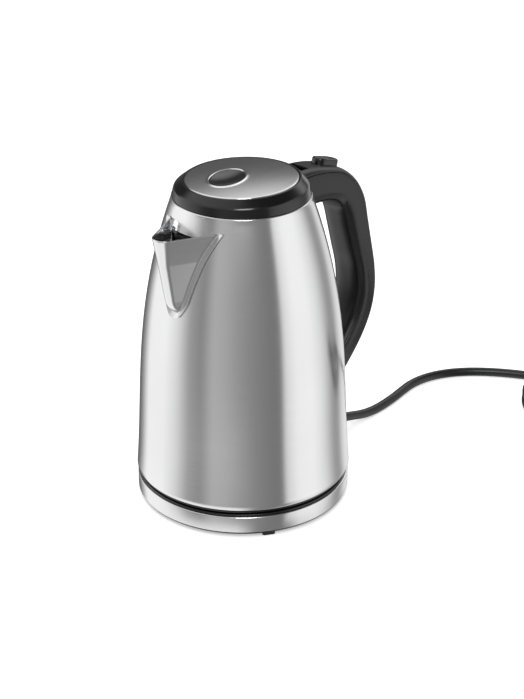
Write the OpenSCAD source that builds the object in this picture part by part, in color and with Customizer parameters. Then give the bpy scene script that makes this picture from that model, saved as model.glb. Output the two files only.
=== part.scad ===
// Cordless electric kettle on its power base.
// Millimetres. The origin is on the kettle's axis at the table. The spout points
// along -X, the handle along +X, and +Z is up.

/* [Power base] */
// Radius of the base's steel ring
base_r = 75; // [73:0.5:78]
// Height of the steel ring's lower edge
ring_z = 4.6; // [4.5:0.1:5]
// Height of the steel ring's upper edge
ring_top = 16.6; // [16:0.1:16.8]
// Height of the rubber feet
foot_h = 2.5; // [2:0.1:2.5]
// Radius of the centre connector's pillar
pillar_r = 15.5; // [14.5:0.1:15.8]

/* [Body] */
// Radius of the steel body at its lower edge
body_r = 76; // [75.5:0.1:78]
// Radius of the steel body at its upper edge
neck_r = 48.6; // [48.4:0.1:48.8]
// Height of the body's lower edge
body_z = 23; // [22.8:0.1:23.2]
// Height of the body's upper edge
body_top = 226.5; // [226:0.1:226.6]
// Thickness of the steel sheet
sheet = 0.8; // [0.6:0.1:0.9]

/* [Spout] */
// Distance of the spout's tip from the axis
spout_r = 80; // [78:0.5:84]
// Half the angle that the spout covers on the body
spout_half_angle = 26; // [24:0.5:27]
// Height of the spout's rim
spout_top = 215.5; // [214:0.5:216]
// Height where the spout's crease meets the body
spout_foot = 158; // [155:1:162]

/* [Lid] */
// Radius of the black lid ring
lid_r = 50; // [49.6:0.1:50.2]
// Radius of the steel disc in the lid
disc_r = 39; // [37:0.5:39.5]
// Tilt of the steel disc towards the spout, in degrees
disc_tilt = 3; // [1:0.5:4]

/* [Handle] */
// Half the width of the handle
grip_w = 14.5; // [14.2:0.1:15]
// Wall thickness of the handle's shells
wall = 2.4; // [2:0.1:2.6]
// Length of the lid button
button_len = 22.5; // [21:0.5:23]
// Width of the lid button
button_w = 12; // [11:0.5:12.4]

/* [Mains cord] */
// Diameter of the mains cord
cord_d = 7; // [6.5:0.1:7.5]
// Radius of the coil at the middle of its turns
coil_r = 36.75; // [35:0.25:38]
// Radius of the round plug
plug_r = 18.5; // [18:0.1:19]

/* [Hidden] */
$fn = 96;

steel = [0.74, 0.75, 0.76];
black = [0.09, 0.09, 0.10];
grey = [0.45, 0.46, 0.47];
copper = [0.72, 0.45, 0.28];
rubber = [0.05, 0.05, 0.05];

eps = 0.01;
foot_angles = [0, 123, 237];
cover_top = 18.2;
rest_z = 19;
plate_z = 45.4;

// Oval cap of the lid: centre, turn, and half its length and width
cap_at = [-8.5, 5];
cap_turn = 18;
cap_a = 17.2;
cap_b = 12.6;

// Lid hinge, latch and switch axes, all along Y: [x, z]
lid_axis = [54, 223.5];
latch_axis = [64.5, 213];
switch_axis = [60, 31];
lid_pin_r = 1.5;
latch_pin_r = 1.2;
switch_pin_r = 1.5;
run_fit = 0.06;

// Lid button: centre of its foot on the handle's top, and the tilt of its axis
button_at = [85.6, 0, 222.1];
button_tilt = 15;

// Handle outline in the plane of symmetry: outer spine and inner face, [x, z]
spine = [[44, 227.4], [62, 227.2], [78, 224.9], [93, 218.6], [106, 208.2], [116.5, 194],
         [123, 176], [128.2, 156], [132.6, 136], [133.6, 118], [129, 100], [118.5, 83],
         [104, 67], [89, 54], [70, 44]];
palm = [[44, 205.5], [62, 205.3], [77, 203], [86.5, 198.5], [93, 190], [97, 180],
        [101, 168], [105.5, 151], [109.5, 134], [110, 117], [106, 104], [98, 91],
        [88, 78.5], [78, 68], [64, 60]];
handle_square = 0.42;
seam_angle = 40;

// Route of the mains cord from the strain relief to the coil, [x, y, z]
cord_exit_z = 10.2;
cord_route = [[104, 0, cord_exit_z], [112, -0.3, 9.8], [121, -1, 8], [131, -2, 5.7],
              [142, -2.8, 4.1], [154, -2.8, 3.5], [166, -2, 3.5], [178, -0.5, 3.5],
              [190, 1.5, 3.5], [202, 2.8, 3.5], [214, 2, 3.5], [226, -1.2, 3.5],
              [237.5, -7, 3.5], [248, -15, 3.5], [257.5, -25, 3.5], [266, -36.5, 3.5],
              [273.5, -49, 3.5], [280, -62, 3.5], [285.5, -75, 3.5], [290, -88, 3.5],
              [293.4, -96.5, 3.5]];
coil_at = [260, -113];
tail_route = [[296.7, -107, 10.2], [299.6, -116.8, 9.6], [301.2, -127.6, 8.8], [301.3, -139.6, 8]];
plug_at = [301.3, -189.1];
plug_turn = 90;

// Cubic Bezier through two end points with two handles
function bezier(a, b, c, d, t) =
    (1 - t) ^ 3 * a + 3 * (1 - t) ^ 2 * t * b + 3 * (1 - t) * t ^ 2 * c + t ^ 3 * d;

// Smooth curve through a list of points, u from 0 to 1
function curve_step(p, i, t) =
    let (a = p[max(i - 1, 0)], b = p[i], c = p[i + 1], d = p[min(i + 2, len(p) - 1)])
    (2 * b + (c - a) * t + (2 * a - 5 * b + 4 * c - d) * t ^ 2 + (3 * b - a - 3 * c + d) * t ^ 3) / 2;
function curve(p, u) =
    let (s = u * (len(p) - 1), i = min(floor(s), len(p) - 2))
    curve_step(p, i, s - i);

function power(v, e) = sign(v) * abs(v) ^ e;
function on_circle(r, a) = [r * cos(a), r * sin(a)];

// Outside of the steel body in the plane of symmetry, from the lower to the upper edge
body_curve = [for (t = [0:0.04:1])
              bezier([body_r, body_z], [70.4, 70], [76.5, 151.5], [neck_r, body_top], t)];
// Heights of the two screws that hold the handle
screw_z = [62, 211];
// Corner of the spout at the rim, where it meets the body
spout_corner = (neck_r + 3.6) * [-cos(spout_half_angle), sin(spout_half_angle)];

// One solid through a list of rings that have the same number of points and turn
// by the right-hand rule about the way from the first ring to the last
module loft(rings) {
    n = len(rings[0]);
    m = len(rings);
    sides = [for (i = [0:m - 2], j = [0:n - 1])
             let (a = i * n + j, b = i * n + (j + 1) % n)
             each [[a, b + n, b], [a, a + n, b + n]]];
    first = [for (j = [0:n - 1]) j];
    last = [for (j = [n - 1:-1:0]) (m - 1) * n + j];
    polyhedron([for (ring = rings) each ring], concat(sides, [first, last]));
}

// Cylinder along Y, centred on the plane of symmetry
module cross_bar(at, r, length) {
    translate([at[0], 0, at[1]])
        rotate([90, 0, 0])
            cylinder(r = r, h = length, center = true);
}

// Plate in the plane of symmetry: an outline in [x, z], thick along Y
module upright_plate(thick) {
    rotate([90, 0, 0])
        linear_extrude(thick, center = true)
            children();
}

module around(angles, r) {
    for (a = angles)
        rotate(a)
            translate([r, 0, 0])
                children();
}

module body_solid(grow) {
    rotate_extrude()
        polygon(concat([[0, body_z - 1], [body_r + grow, body_z - 1]],
                       [for (p = body_curve) [p[0] + grow, p[1]]],
                       [[neck_r + grow, body_top + 3], [0, body_top + 3]]));
}

/* ---- Power base ---- */

// Hole in the base's wall for the strain relief
module gland_hole() {
    translate([63, 0, cord_exit_z])
        rotate([0, 90, 0])
            cylinder(r = 5.5, h = 20);
}

module base_bottom() {
    color(black)
    difference() {
        rotate_extrude()
            polygon([[0, foot_h], [base_r - 1.5, foot_h], [base_r - 0.4, foot_h + 0.8],
                     [base_r - 0.4, ring_z - 0.1], [72.6, ring_z - 0.1], [72.6, 12], [70.8, 12],
                     [70.8, ring_z], [0, ring_z]]);
        around(foot_angles, 68.5)
            translate([0, 0, foot_h - 1])
                cylinder(r = 5 + eps, h = 2);
        around([60, 180, 300], 50)
            translate([0, 0, 1])
                cylinder(r = 1.8, h = 6);
        gland_hole();
    }
}

module base_steel_ring() {
    color(steel)
    difference() {
        rotate_extrude()
            polygon([[base_r - 0.7, ring_z], [base_r, ring_z], [base_r, ring_top - 0.8],
                     [base_r - 0.8, ring_top], [70, ring_top], [70, ring_top - 0.7],
                     [base_r - 1.1, ring_top - 0.7], [base_r - 0.7, ring_top - 1.1]]);
        gland_hole();
    }
}

module base_cover() {
    color(black)
    difference() {
        rotate_extrude()
            polygon([[pillar_r + 0.3, 15.4], [66.5, 15.4], [66.5, 8], [68.6, 8], [68.6, 15.4],
                     [69.4, 15.4], [69.4, ring_top + 0.1], [base_r - 1.6, ring_top + 0.1],
                     [base_r - 1.6, cover_top - 0.4], [base_r - 2, cover_top], [66, cover_top],
                     [66, rest_z], [62, rest_z], [62, cover_top], [24, 17.2],
                     [pillar_r + 0.3, 17.2]]);
        gland_hole();
    }
    color(black)
    around([60, 180, 300], 50)
        translate([0, 0, ring_z])
            difference() {
                cylinder(r = 3.4, h = 15.4 - ring_z + eps);
                translate([0, 0, -1])
                    cylinder(r = 1.25, h = 9);
            }
}

module base_feet() {
    color(rubber)
    around(foot_angles, 68.5)
        rotate_extrude()
            polygon([[0, 0], [4.2, 0], [5, 0.6], [5, foot_h + 1], [0, foot_h + 1]]);
}

module base_screws() {
    color(steel)
    around([60, 180, 300], 50)
        rotate_extrude()
            polygon([[0, foot_h - 1.6], [2.8, foot_h - 1.6], [2.8, foot_h - 0.2], [1.6, foot_h],
                     [1.6, ring_z], [1.15, ring_z], [1.15, 11], [0, 12.5]]);
}

module base_connector() {
    color(black)
    rotate_extrude()
        polygon([[2.6, 8], [pillar_r + 4, 8], [pillar_r + 4, 15.3], [pillar_r, 15.3],
                 [pillar_r, 31.6], [pillar_r - 1, 32.6], [13.4, 32.6], [13.4, 22], [11.4, 22],
                 [11.4, 32.6], [8.6, 32.6], [8.6, 22], [6.4, 22], [6.4, 32.6], [2.6, 32.6]]);
}

module base_contacts() {
    color(copper)
    for (a = [20:120:260], r = [6.4, 11.4])
        rotate(a)
            translate([r + 0.02, -1.5, 22.02])
                cube([0.3, 3, 4]);
}

module base_wires() {
    color([0.3, 0.6, 0.2])
    for (i = [-1:1])
        translate([pillar_r + 4.2, i * 3, 9.4 + (i == 0 ? 2.6 : 0)])
            rotate([0, 90, 0])
                cylinder(r = 1.2, h = 41);
}

module strain_relief() {
    color(black)
    difference() {
        translate([61, 0, cord_exit_z])
            rotate([0, 90, 0])
                rotate_extrude()
                    polygon([[0, 0], [5, 0], [5, 3.4], [5.4, 3.4], [5.4, 15], [6.6, 15], [6.6, 17],
                             [6, 18], [4.5, 43], [0, 43]]);
        for (x = [82:4:98], side = [-1, 1])
            translate([x, side * 6.2, cord_exit_z])
                cube([1.6, 5, 5.2], center = true);
    }
}

/* ---- Mains cord and plug ---- */

// Ring of the cord's surface at point i of a route
function cord_ring(route, i, r, sides) =
    let (a = route[max(i - 1, 0)], b = route[min(i + 1, len(route) - 1)],
         d = (b - a) / norm(b - a), side = cross([0, 0, 1], d) / norm(cross([0, 0, 1], d)),
         up = cross(d, side))
    [for (k = [0:sides - 1])
        route[i] + r * cos(360 * k / sides) * side + r * sin(360 * k / sides) * up];

module tube_along(route, r, sides) {
    loft([for (i = [0:len(route) - 1]) cord_ring(route, i, r, sides)]);
}

module mains_cord() {
    color(black)
    tube_along(cord_route, cord_d / 2, 12);
}

module cord_tail() {
    color(black)
    tube_along(tail_route, cord_d / 2, 12);
}

module cord_coil() {
    color(black)
    translate([coil_at[0], coil_at[1], 0])
        rotate_extrude()
            translate([coil_r - cord_d / 2, 0])
                square([cord_d, 2 * cord_d]);
}

module at_plug() {
    translate([plug_at[0], plug_at[1], 0])
        rotate(plug_turn)
            children();
}

module plug_body() {
    color(black)
    at_plug()
    difference() {
        union() {
            rotate_extrude()
                polygon([[0, 0], [plug_r - 2.5, 0], [plug_r - 0.5, 1.5], [plug_r, 4],
                         [plug_r, 22], [plug_r - 1, 23.4], [plug_r - 1.6, 24], [0, 24]]);
            translate([plug_r - 3, 0, 8])
                rotate([0, 90, 0])
                    rotate_extrude()
                        polygon([[0, 0], [7.4, 0], [6.6, 8], [4.8, 34], [0, 34]]);
        }
        for (s = [-1, 1]) {
            translate([0, s * (plug_r + 0.2), 17])
                cube([9, 4, 20], center = true);
            translate([0, s * 9.5, 17])
                cylinder(r = 2.2, h = 8);
        }
        translate([9, 0, 17])
            cylinder(r = 2.6, h = 8);
    }
}

module plug_pins() {
    color(steel)
    at_plug()
    for (s = [-1, 1])
        translate([0, s * 9.5, 17])
            rotate_extrude()
                polygon([[0, 0], [2.2, 0], [2.2, 7], [2.4, 7], [2.4, 25], [1.6, 26], [0, 26]]);
}

module plug_earth_clips() {
    color(steel)
    at_plug()
    for (s = [-1, 1])
        translate([0, s * (plug_r - 1.4), 15.6])
            cube([6, 0.8, 17.2], center = true);
}

/* ---- Coupling on the kettle ---- */

module appliance_connector() {
    color(grey)
    rotate_extrude()
        polygon([[2.05, 33.4], [16.2, 33.4], [16.2, rest_z + 0.6], [20, rest_z + 0.6],
                 [20, 35.5], [2.05, 35.5]]);
}

module connector_pin() {
    color(copper)
    rotate_extrude()
        polygon([[0, 21], [1.2, 20], [2, 21], [2, 36], [0, 36]]);
}

module connector_rings() {
    color(copper)
    for (r = [7.1, 12.1])
        rotate_extrude()
            translate([r, 23])
                square([0.8, 10.38]);
}

/* ---- Kettle body ---- */

// Opening in the body behind the spout
module spout_hole() {
    half = (neck_r + 3) * sin(spout_half_angle) - 4;
    rotate([90, 0, -90])
        linear_extrude(100)
            polygon([[0, spout_foot + 9], [half, spout_top - 4], [-half, spout_top - 4]]);
}

module body_shell() {
    color(steel)
    difference() {
        union() {
            rotate_extrude()
                polygon(concat(body_curve, [for (i = [len(body_curve) - 1:-1:0])
                                            body_curve[i] - [sheet, 0]]));
            rotate_extrude()
                translate([neck_r - 0.9, body_top - 0.6])
                    circle(r = 0.8, $fn = 24);
        }
        spout_hole();
        translate([60, -13.2, body_z - 1])
            cube([30, 26.4, 19]);
        screw_holes(1.6);
    }
}

// Outline of the spout in plan at the rim, grown outwards by g
module spout_plan(g) {
    hull() {
        translate([-spout_r + 4 - eps, 0])
            circle(r = 4 + g, $fn = 24);
        for (s = [-1, 1])
            translate([spout_corner[0] + 2, s * (spout_corner[1] - 2)])
                circle(r = 2 + g, $fn = 24);
    }
}

// Solid spout, grown outwards by g
module spout_mass(g) {
    hull() {
        translate([0, 0, spout_top - 1])
            linear_extrude(1 + max(-g, 0))
                spout_plan(g);
        translate([-62, 0, spout_foot - g])
            sphere(r = 3 + g, $fn = 24);
        translate([-50, 0, spout_foot])
            cube([2, 4, 1], center = true);
    }
}

module spout() {
    color(steel)
    difference() {
        spout_mass(0);
        spout_mass(-sheet);
        body_solid(0.05);
    }
}

module lower_collar() {
    color(black)
    difference() {
        rotate_extrude()
            polygon([[66.2, rest_z], [base_r - 1, rest_z], [base_r - 0.5, rest_z + 0.5],
                     [base_r - 0.5, body_z - 0.1], [74, body_z - 0.1], [73.2, 32], [71.2, 32],
                     [71.2, 21.5], [66.2, 21.5]]);
        translate([60, -13.2, body_z])
            cube([30, 26.4, 19]);
    }
}

module underside_cover() {
    color(black)
    difference() {
        union() {
            rotate_extrude()
                polygon([[20.3, rest_z], [66, rest_z], [66, 21], [22.5, 21], [22.5, 27],
                         [20.3, 27]]);
            around([90, 210, 330], 58)
                translate([0, 0, 20.9])
                    cylinder(r = 3.5, h = 14);
            for (side = [-1, 1])
                translate([0, side * 8.7, 0])
                    upright_plate(3)
                        polygon([[55.5, 20.9], [64.5, 20.9], [63.5, 34], [56.5, 34]]);
        }
        cross_bar(switch_axis, switch_pin_r + 0.02, 40);
        around([90, 210, 330], 58)
            translate([0, 0, 10])
                cylinder(r = 1.5, h = 20);
        for (a = [30:10:60], s = [0, 180])
            rotate(a + s)
                translate([42, -1.2, 10])
                    cube([12, 2.4, 20]);
    }
}

module heating_plate() {
    color(steel)
    rotate_extrude()
        polygon([[0, plate_z], [68, plate_z], [70.6, plate_z + 2], [70.6, plate_z + 6],
                 [69.8, plate_z + 6], [69.8, plate_z + 2.4], [67.6, plate_z + 0.8],
                 [0, plate_z + 0.8]]);
}

module heat_spreader() {
    color(grey)
    translate([0, 0, plate_z - 2.1])
        cylinder(r = 56, h = 2);
}

module heating_element() {
    color(grey)
    rotate([0, 0, 25])
        rotate_extrude(angle = 310)
            translate([42, plate_z - 6.2])
                circle(r = 4, $fn = 32);
}

module plate_seal() {
    color(rubber)
    rotate_extrude()
        polygon([[70.7, plate_z + 0.5], [72.6, plate_z + 0.5], [72.2, plate_z + 8],
                 [70.7, plate_z + 8]]);
}

module thermostat_control() {
    color(grey)
    translate([0, 0, 36.2])
        difference() {
            intersection() {
                cylinder(r = 30, h = 6);
                cube([56, 50, 20], center = true);
            }
            translate([18, -16, 3])
                cube([14, 32, 8]);
        }
}

module bimetal_disc() {
    color(copper)
    translate([-6, 0, 42.3])
        rotate_extrude()
            polygon([[0, 0.1], [10, 0], [10, 0.4], [0, 0.7]]);
}

/* ---- Switch ---- */

module switch_housing() {
    color(black)
    difference() {
        translate([70, -17, body_z + 0.2])
            cube([13, 34, 19.6]);
        body_solid(0.1);
        translate([60, -12.9, body_z - 1])
            cube([40, 25.8, 18]);
        for (s = [-1, 1])
            translate([83, s * 17, body_z])
                rotate(45)
                    cube([6, 6, 60], center = true);
    }
}

module switch_lever() {
    color(black)
    difference() {
        union() {
            upright_plate(12) {
                translate([switch_axis[0], switch_axis[1]])
                    circle(r = 3.6);
                polygon([[58, 33], [62, 29.4], [86, 29.4], [86, 34], [62, 34.6]]);
            }
            upright_plate(24)
                polygon([[84.5, 29.4], [92, 28.6], [101, 27.4], [103, 28.6], [102.4, 31],
                         [94, 33.2], [84.5, 34]]);
        }
        cross_bar(switch_axis, switch_pin_r + run_fit, 40);
    }
}

module switch_pin() {
    color(steel)
    cross_bar(switch_axis, switch_pin_r, 20.4);
}

/* ---- Spout filter ---- */

// Frame of the filter's plate: it leans with the body's wall
module at_filter() {
    translate([-52.5, 0, 189.5])
        rotate([0, 14, 0])
            children();
}

module filter_frame() {
    color(black)
    at_filter()
    difference() {
        union() {
            cube([2, 36, 38], center = true);
            translate([1.5, 0, 20])
                cube([5, 8, 3], center = true);
        }
        for (s = [-1, 1])
            translate([0, s * 8.5, -1])
                cube([4, 14, 32], center = true);
    }
}

module filter_mesh() {
    color(steel)
    at_filter()
    for (s = [-1, 1])
        translate([0, s * 8.5, -1])
            difference() {
                cube([0.4, 14, 32], center = true);
                for (y = [-5:2.5:5], z = [-14:2.8:14])
                    translate([0, y, z])
                        cube([1, 1.6, 1.9], center = true);
            }
}

/* ---- Handle ---- */

// One ring of the handle at u along it: from angle a0 to a1, between insets k0 and k1
function handle_point(u, a, k) =
    let (o = curve(spine, u), i = curve(palm, u), mid = (o + i) / 2, half = (o - i) / 2,
         p = mid + half * (1 - k / norm(half)) * power(cos(a), handle_square))
    [p[0], -(grip_w - k) * power(sin(a), handle_square), p[1]];
function handle_ring(u, a0, a1, k0, k1, n) =
    concat([for (j = [0:n]) handle_point(u, a0 + (a1 - a0) * j / n, k0)],
           [for (j = [n:-1:0]) handle_point(u, a0 + (a1 - a0) * j / n, k1)]);

module handle_part(u0, u1, a0, a1, k0, k1, n, steps) {
    loft([for (i = [0:steps]) handle_ring(u0 + (u1 - u0) * i / steps, a0, a1, k0, k1, n)]);
}

// Room in the handle's root for the lid hinge
module hinge_pocket() {
    translate([40, -10.7, 211.3])
        cube([20.5, 21.4, 20]);
}

module screw_holes(r) {
    for (z = screw_z)
        translate([40, 0, z])
            rotate([0, 90, 0])
                cylinder(r = r, h = 42);
}

module handle_shell() {
    color(black)
    difference() {
        handle_part(0, 1, seam_angle + 1, 359 - seam_angle, 0, wall, 22, 40);
        body_solid(0.15);
        hinge_pocket();
        screw_holes(1.5);
    }
}

module handle_cover() {
    color(black)
    difference() {
        handle_part(0.02, 1, -seam_angle, seam_angle, 0, wall, 10, 40);
        body_solid(0.15);
        translate([40, -20, 211])
            cube([19.2, 40, 20]);
        at_button()
            translate([0, 0, -12])
                stadium(button_len + 0.8, button_w + 0.8, 20);
    }
}

module grip_insert() {
    color(rubber)
    handle_part(0.3, 0.86, 114, 246, -0.9, -0.1, 12, 24);
}

module lid_seat() {
    color(black)
    rotate_extrude()
        polygon([[43.6, 212], [45.6, 212], [45.6, 221], [47.2, 224.8], [43.6, 224.8]]);
}

module handle_screws() {
    color(steel)
    for (i = [0, 1])
        translate([[69.6, 48.4][i], 0, screw_z[i]])
            rotate([0, 90, 0]) {
                cylinder(r = 1.4, h = 9);
                translate([0, 0, -1.2])
                    cylinder(r = 2.8, h = 1.2);
            }
}

module hinge_bracket() {
    color(grey)
    difference() {
        union() {
            for (side = [-1, 1])
                translate([0, side * 9, 0])
                    upright_plate(3) {
                        translate(lid_axis)
                            circle(r = 3.1);
                        polygon([[53, 220.8], [54.4, 211.6], [67.6, 211.6], [67.6, 216],
                                 [60.2, 222], [56.6, 225]]);
                    }
            translate([54.6, -7.6, 211.6])
                cube([5.4, 15.2, 1.6]);
            translate([54.6, -5.4, 208.9])
                cube([5.4, 10.8, 3]);
        }
        cross_bar(lid_axis, lid_pin_r + 0.02, 40);
        cross_bar(latch_axis, latch_pin_r + 0.02, 40);
        screw_holes(1.45);
        body_solid(0.25);
    }
}

module hinge_pin() {
    color(steel)
    cross_bar(lid_axis, lid_pin_r, 20.8);
}

module hinge_spring() {
    color(steel)
    for (y = [-3:1:3])
        translate([lid_axis[0], y, lid_axis[1]])
            rotate([90, 0, 0])
                rotate_extrude()
                    translate([2.1, 0])
                        circle(r = 0.35, $fn = 16);
}

/* ---- Lid ---- */

// Horizontal ring of the lid at radius r and height z, tipped by tilt towards the spout
function lid_level(r, z, tilt, n) =
    [for (j = [0:n - 1]) let (a = 360 * j / n)
        [r * cos(a), r * sin(a), z + r * cos(a) * tan(tilt)]];

module lid_ring() {
    t = disc_tilt;
    n = 72;
    color(black)
    difference() {
        loft([lid_level(lid_r - 0.5, 227, 0, n), lid_level(lid_r, 227.6, 0, n),
              lid_level(lid_r - 0.4, 231, 0.2 * t, n), lid_level(lid_r - 1.8, 232.8, 0.3 * t, n),
              lid_level(disc_r + 1.8, 237.8, t, n), lid_level(disc_r + 0.3, 238.1, t, n)]);
        loft([lid_level(lid_r - 3, 226, 0, n), lid_level(lid_r - 3, 230.4, 0.2 * t, n),
              lid_level(disc_r - 3, 235.6, t, n), lid_level(disc_r - 3, 244, t, n)]);
        at_disc()
            translate([0, 0, -0.1])
                cylinder(r = disc_r + 0.05, h = 10);
        translate([40, -7.3, 226])
            cube([20, 14.6, 4.1]);
    }
}

module at_disc() {
    translate([0, 0, 237])
        rotate([0, -disc_tilt, 0])
            children();
}

module lid_disc() {
    color(steel)
    at_disc()
    difference() {
        rotate_extrude()
            polygon([[0, 0], [disc_r - 0.05, 0], [disc_r - 0.05, 0.5], [disc_r - 0.5, 0.9],
                     [0, 0.9]]);
        translate([0, 0, -1])
            linear_extrude(3)
                cap_oval(-1.1);
    }
}

// Outline of the lid's cap, grown outwards by g
module cap_oval(g) {
    translate(cap_at)
        rotate(cap_turn)
            polygon([for (k = [0:5:355]) [(cap_a + g) * cos(k), (cap_b + g) * sin(k)]]);
}

module lid_cap() {
    color(black)
    at_disc() {
        translate([0, 0, -2])
            linear_extrude(3)
                cap_oval(-1.2);
        translate([0, 0, 0.95])
            linear_extrude(0.6)
                cap_oval(0);
        translate([0, 0, 1.5])
            linear_extrude(0.65)
                cap_oval(-1);
    }
}

module lid_inner() {
    color(black)
    difference() {
        rotate_extrude()
            polygon([[0, 213.5], [40.5, 213.5], [41.5, 214.2], [41.8, 216.4], [40.2, 216.4],
                     [40.2, 219.4], [42.3, 219.4], [42.9, 226], [46.6, 227.1], [46.6, 228],
                     [44, 228], [41, 226], [39.4, 215.4], [0, 215.4]]);
        around([90, 210, 330], 30)
            translate([0, 0, 210])
                cylinder(r = 1.6, h = 10);
        for (a = [-12:6:12])
            rotate(a + 180)
                translate([33, 0, 210])
                    cylinder(r = 1.2, h = 10, $fn = 24);
    }
}

module lid_seal() {
    color([0.8, 0.8, 0.8])
    rotate_extrude()
        polygon([[40.25, 216.5], [42.2, 216.5], [43, 217.9], [42.4, 219.3], [40.25, 219.3]]);
}

module lid_hinge_arm() {
    color(black)
    difference() {
        upright_plate(14) {
            translate(lid_axis)
                circle(r = 3.2);
            polygon([[44.2, 228.1], [46.9, 228.1], [50.4, 227.4], [51.4, 222.2], [56.6, 221.6],
                     [61.6, 221.6], [61.6, 222.8], [57, 224.2], [51, 228.5], [49, 229.4],
                     [44.2, 229.7]]);
        }
        cross_bar(lid_axis, lid_pin_r + run_fit, 20);
        cross_bar(lid_axis, 3.4, 7.4);
        for (side = [-1, 1])
            translate([63, side * 7, 222])
                cube([7, 6, 8], center = true);
    }
}

module lid_screws() {
    color(steel)
    around([90, 210, 330], 30)
        rotate_extrude()
            polygon([[0, 212.1], [2.6, 212.1], [2.6, 213.4], [1.5, 213.4], [1.5, 222], [0, 223]]);
}

/* ---- Lid button and latch ---- */

module at_button() {
    translate(button_at)
        rotate([0, button_tilt, 0])
            children();
}

module stadium(length, width, h) {
    linear_extrude(h) {
        square([length - width, width], center = true);
        for (s = [-1, 1])
            translate([s * (length - width) / 2, 0])
                circle(d = width);
    }
}

module lid_button() {
    color(black)
    at_button()
    difference() {
        union() {
            translate([0, 0, -6.4])
                stadium(button_len, button_w, 11.8);
            translate([0, 0, 5.4 - eps])
                stadium(button_len - 1.4, button_w - 1.4, 0.6);
            translate([-8.6, -3, -11.6])
                cube([3, 6, 5.4]);
        }
        translate([3.5, 0, -8])
            cylinder(r = 4, h = 10);
    }
}

module button_spring() {
    color(steel)
    at_button()
    for (z = [-9.4:1.8:1.4])
        translate([3.5, 0, z])
            rotate_extrude()
                translate([3.2, 0])
                    circle(r = 0.4, $fn = 16);
}

module button_carrier() {
    color(grey)
    at_button()
    translate([3.5, 0, -11.4]) {
        translate([-5, -8.6, 0])
            cube([10, 17.2, 1.5]);
        translate([0, 0, 1.4])
            cylinder(r = 2.4, h = 2);
    }
}

module latch_lever() {
    color(grey)
    difference() {
        upright_plate(7) {
            translate(latch_axis)
                circle(r = 3);
            polygon([[61.8, 220.2], [61.8, 218.8], [63, 218.4], [62.4, 213], [64.5, 210.2],
                     [76.6, 209.6], [76.6, 211.6], [67.2, 212.6], [66, 220.6]]);
        }
        cross_bar(latch_axis, latch_pin_r + run_fit, 20);
    }
}

module latch_pin() {
    color(steel)
    cross_bar(latch_axis, latch_pin_r, 19);
}

module steam_tube() {
    path = [for (u = [0.2:0.03:0.95])
            let (o = curve(spine, u), i = curve(palm, u), p = i + (o - i) * 0.36)
            [p[0], 7.2, p[1]]];
    color(grey)
    loft([for (i = [0:len(path) - 1])
          let (d = path[min(i + 1, len(path) - 1)] - path[max(i - 1, 0)], t = d / norm(d))
          [for (k = [0:45:315]) path[i] + 2.2 * (sin(k) * cross(t, [0, 1, 0]) + cos(k) * [0, 1, 0])]]);
}

base_bottom();
base_steel_ring();
base_cover();
base_feet();
base_screws();
base_connector();
base_contacts();
base_wires();
strain_relief();
mains_cord();
cord_coil();
cord_tail();
plug_body();
plug_pins();
plug_earth_clips();
appliance_connector();
connector_pin();
connector_rings();
body_shell();
spout();
lower_collar();
underside_cover();
heating_plate();
heat_spreader();
heating_element();
plate_seal();
thermostat_control();
bimetal_disc();
switch_housing();
switch_lever();
switch_pin();
filter_frame();
filter_mesh();
lid_seat();
handle_shell();
handle_cover();
grip_insert();
handle_screws();
hinge_bracket();
hinge_pin();
hinge_spring();
lid_ring();
lid_disc();
lid_cap();
lid_inner();
lid_seal();
lid_hinge_arm();
lid_screws();
lid_button();
button_spring();
button_carrier();
latch_lever();
latch_pin();
steam_tube();
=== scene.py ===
"""Electric kettle on its power base: the looks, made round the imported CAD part.

Points and sizes are in millimetres in the frame's own axes, and become metres where a
mesh is made. The spout points along -X, the handle along +X, and the table is at Z = 0.
"""

import math

import bmesh
import bpy
import numpy as np
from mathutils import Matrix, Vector


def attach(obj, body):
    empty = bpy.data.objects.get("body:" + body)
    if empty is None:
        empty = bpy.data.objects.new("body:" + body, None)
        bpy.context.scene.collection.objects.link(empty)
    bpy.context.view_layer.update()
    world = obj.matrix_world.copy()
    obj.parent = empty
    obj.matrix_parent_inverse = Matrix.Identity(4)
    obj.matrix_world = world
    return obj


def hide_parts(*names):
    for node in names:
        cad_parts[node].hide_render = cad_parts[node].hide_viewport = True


MM = 0.001

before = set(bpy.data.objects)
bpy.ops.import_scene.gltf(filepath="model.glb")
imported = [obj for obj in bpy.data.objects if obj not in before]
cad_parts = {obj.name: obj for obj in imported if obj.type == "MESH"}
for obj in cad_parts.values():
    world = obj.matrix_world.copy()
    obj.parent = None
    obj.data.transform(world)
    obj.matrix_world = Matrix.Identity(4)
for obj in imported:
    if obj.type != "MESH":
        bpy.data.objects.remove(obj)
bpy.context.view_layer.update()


# ---- Sizes that the pieces share ----

# Radii from the kettle's axis and heights above the table: the base, its ring and cover, the
# collar, the steel body, its neck, the spout's tip, the lid and its steel disc
BASE_R, RING_Z, RING_TOP = 75.9, 4.6, 16.6
COVER_TOP, COLLAR_Z = 18.2, 19
BODY_R, BODY_Z = 76.4, 22.3
NECK_R, NECK_Z = 47.5, 225.7
SPOUT_R, SPOUT_TOP = 82, 216.6
LID_R = 47.5
DISC_R, DISC_Z = 39, 236.5
# The disc's tilt, and the direction in which it rises, in degrees
DISC_TILT, DISC_TURN = 1.7, -35
# Thickness of the body's steel, and of the cord
SHEET = 0.8
CORD_D = 7
# Half widths of the switch's notch in the body and of the hinge's slot in the handle
SWITCH_HALF, HINGE_HALF = 13.2, 7.4

# ---- Curves and outlines ----


def bezier(a, b, c, d, t):
    a, b, c, d = (np.array(p, float) for p in (a, b, c, d))
    s = 1 - t
    return s**3 * a + 3 * s * s * t * b + 3 * s * t * t * c + t**3 * d


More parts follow.
